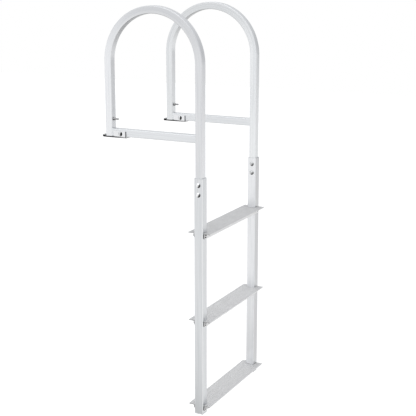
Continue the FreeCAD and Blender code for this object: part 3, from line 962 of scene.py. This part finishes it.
@dataclass
class Studio:
    """Plain white studio: a pale floor below the hanging ladder, soft lamps, and the photograph's camera."""

    floor_height: float = -1350.0
    floor_size: float = 24000.0
    frame_pixels: int = 416
    focal_pixels: float = 982.2
    sensor: float = 36.0
    camera_place: Point = (1795.5, -2763.0, 546.7)
    azimuth: float = 27.33
    look_down: float = 13.64
    aim: Point = (200.0, 200.0, -200.0)
    # painted shadow: in metal the floor is dark round the ladder and lighter further out
    pool: float = 0.95
    pool_centre: Point = (200.0, -100.0, 0.0)
    floor_near: float = 0.25
    floor_far: float = 1.0
    far_side: float = 1.0
    paper: str = "BABABA"         # seen by the camera; with the glow it is just white, so edges stay crisp
    paper_glow: float = 0.66
    world_dark: float = 0.72
    world_bright: float = 0.97
    behind: float = 0.88          # of the light from behind the ladder
    overhead: float = 1.2         # times the light from above

    def camera(self) -> None:
        """Place the camera where the photograph was taken."""
        data = bpy.data.cameras.new("photo_camera")
        data.sensor_width = self.sensor
        data.lens = self.focal_pixels / self.frame_pixels * self.sensor
        data.clip_end = 100.0
        camera = bpy.data.objects.new("photo_camera", data)
        camera.location = Vector(self.camera_place) * MM
        camera.rotation_euler = (math.radians(90 - self.look_down), 0.0, math.radians(self.azimuth))
        bpy.context.collection.objects.link(camera)
        bpy.context.scene.camera = camera

    def lamp(self, name: str, place: Point, size: float, watts: float) -> None:
        """Add one square soft box that faces the ladder.

        Args:
            name: the lamp's name.
            place: where it hangs.
            size: its width.
            watts: its power.
        """
        data = bpy.data.lights.new(name, "AREA")
        data.shape = "SQUARE"
        data.size = size * MM
        data.energy = watts
        lamp = bpy.data.objects.new(name, data)
        lamp.location = Vector(place) * MM
        lamp.rotation_euler = (Vector(self.aim) - Vector(place)).to_track_quat("-Z", "Y").to_euler()
        bpy.context.collection.objects.link(lamp)

    def floor(self) -> None:
        """Lay the pale floor: seen from the camera it is near white, keeps the shadow and is clear from below; in
        metal it shows a painted shadow, dark near the ladder.
        """
        bpy.ops.mesh.primitive_plane_add(size=self.floor_size * MM, location=(0, 0, self.floor_height * MM))
        floor = bpy.context.object
        floor.name = "studio_floor"
        material = bpy.data.materials.new("white_studio_paper")
        material.use_nodes = True
        tree = material.node_tree
        tree.nodes.clear()
        path = add_node(tree, "ShaderNodeLightPath")
        place = add_node(tree, "ShaderNodeTexCoord")
        paper = add_node(tree, "ShaderNodeBsdfDiffuse", inputs={"Color": hex_colour("E6E6E6")})
        seen = add_node(tree, "ShaderNodeBsdfDiffuse", inputs={"Color": hex_colour(self.paper)})
        pool = add_node(tree, "ShaderNodeMapping", {"vector_type": "TEXTURE"},
                        {"Location": tuple(Vector(self.pool_centre) * MM), "Scale": (self.pool, self.pool, 1.0)},
                        links={"Vector": place.outputs["Object"]})
        reach = add_node(tree, "ShaderNodeVectorMath", {"operation": "LENGTH"}, links={0: pool.outputs[0]})
        rim = add_node(tree, "ShaderNodeMapRange", {"interpolation_type": "SMOOTHSTEP"},
                       {"From Min": 0.4, "From Max": 1.0, "To Min": self.floor_near, "To Max": self.floor_far},
                       {"Value": reach.outputs["Value"]})
        tilt = add_node(tree, "ShaderNodeVectorMath", {"operation": "DOT_PRODUCT"},
                        {1: (-0.6, -0.8, 0.0)}, {0: place.outputs["Object"]})
        way = add_node(tree, "ShaderNodeMapRange", {"interpolation_type": "SMOOTHSTEP"},
                       {"From Min": -4.0, "From Max": 4.0, "To Min": self.far_side, "To Max": 1.0},
                       {"Value": tilt.outputs["Value"]})
        strength = add_node(tree, "ShaderNodeMath", {"operation": "MULTIPLY"},
                            links={0: rim.outputs["Result"], 1: way.outputs["Result"]})
        mirrored = add_node(tree, "ShaderNodeEmission", inputs={"Color": (1, 1, 1, 1)},
                            links={"Strength": strength.outputs[0]})
        glow = add_node(tree, "ShaderNodeEmission", inputs={"Color": (1, 1, 1, 1), "Strength": self.paper_glow})
        white = add_node(tree, "ShaderNodeAddShader", links={0: seen.outputs[0], 1: glow.outputs[0]})
        metal = add_node(tree, "ShaderNodeMixShader", links={0: path.outputs["Is Glossy Ray"],
                         1: paper.outputs[0], 2: mirrored.outputs[0]})
        side = add_node(tree, "ShaderNodeNewGeometry")
        clear = add_node(tree, "ShaderNodeBsdfTransparent")
        eye = add_node(tree, "ShaderNodeMixShader", links={0: side.outputs["Backfacing"],
                       1: white.outputs[0], 2: clear.outputs[0]})
        mix = add_node(tree, "ShaderNodeMixShader", links={0: path.outputs["Is Camera Ray"],
                       1: metal.outputs[0], 2: eye.outputs[0]})
        add_node(tree, "ShaderNodeOutputMaterial", links={"Surface": mix.outputs[0]})
        floor.data.materials.append(material)

    def world(self) -> None:
        """Make the surroundings white to the eye, and a soft fill for metal and the rest."""
        world = bpy.data.worlds.new("studio")
        world.use_nodes = True
        tree = world.node_tree
        tree.nodes.clear()
        path = add_node(tree, "ShaderNodeLightPath")
        place = add_node(tree, "ShaderNodeTexCoord")
        tilt = add_node(tree, "ShaderNodeVectorMath", {"operation": "DOT_PRODUCT"},
                        {1: (-0.55, -0.75, 0.1)}, {0: place.outputs["Generated"]})
        way = add_node(tree, "ShaderNodeMapRange", {"interpolation_type": "SMOOTHSTEP"},
                       {"From Min": -1.0, "From Max": 1.0, "To Min": self.world_dark, "To Max": self.world_bright},
                       {"Value": tilt.outputs["Value"]})
        white = add_node(tree, "ShaderNodeBackground", inputs={"Color": (1, 1, 1, 1), "Strength": 1.0})
        back = add_node(tree, "ShaderNodeVectorMath", {"operation": "DOT_PRODUCT"},
                          {1: (0.2, 0.98, 0.0)}, {0: place.outputs["Generated"]})
        dim = add_node(tree, "ShaderNodeMapRange", {"interpolation_type": "SMOOTHSTEP"},
                       {"From Min": 0.55, "From Max": 0.95, "To Min": 1.0, "To Max": self.behind},
                       {"Value": back.outputs["Value"]})
        height = add_node(tree, "ShaderNodeSeparateXYZ", links={"Vector": place.outputs["Generated"]})
        high = add_node(tree, "ShaderNodeMapRange", {"interpolation_type": "SMOOTHSTEP"},
                        {"From Min": 0.2, "From Max": 0.55, "To Min": 1.0, "To Max": self.overhead},
                        {"Value": height.outputs["Z"]})
        level = add_node(tree, "ShaderNodeMath", {"operation": "MULTIPLY"},
                         links={0: way.outputs["Result"], 1: dim.outputs["Result"]})
        strength = add_node(tree, "ShaderNodeMath", {"operation": "MULTIPLY"},
                            links={0: level.outputs[0], 1: high.outputs["Result"]})
        fill = add_node(tree, "ShaderNodeBackground", inputs={"Color": hex_colour("F8F9FB")},
                        links={"Strength": strength.outputs[0]})
        mix = add_node(tree, "ShaderNodeMixShader",
                       links={0: path.outputs["Is Camera Ray"], 1: fill.outputs[0], 2: white.outputs[0]})
        add_node(tree, "ShaderNodeOutputWorld", links={"Surface": mix.outputs[0]})
        bpy.context.scene.world = world

    def build(self) -> None:
        """Set up the floor, the lamps, the world and the camera."""
        bpy.context.scene.view_settings.view_transform = "Standard"
        self.camera()
        self.floor()
        self.world()
        self.lamp("key_lamp", (-900.0, -3200.0, 1900.0), 1200.0, 7.0)
        self.lamp("top_lamp", (300.0, 200.0, 3000.0), 2400.0, 3.0)
        self.lamp("edge_lamp", (2600.0, -1300.0, -300.0), 1800.0, 1.2)
        LOG.info("studio is set")


def main() -> None:
    """Build the visual model around the solids."""
    logging.basicConfig(level=logging.INFO)
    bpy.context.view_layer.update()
    bpy.ops.object.select_all(action="DESELECT")
    finishes = FrameFinishes().dress()
    Handrails().build(finishes["tube"], finishes["right_handrail"])
    Fasteners().build(finishes["fastener"])
    WeldBeads().build(WeldedAluminium().build())
    Studio().build()


if __name__ == "__main__":
    main()
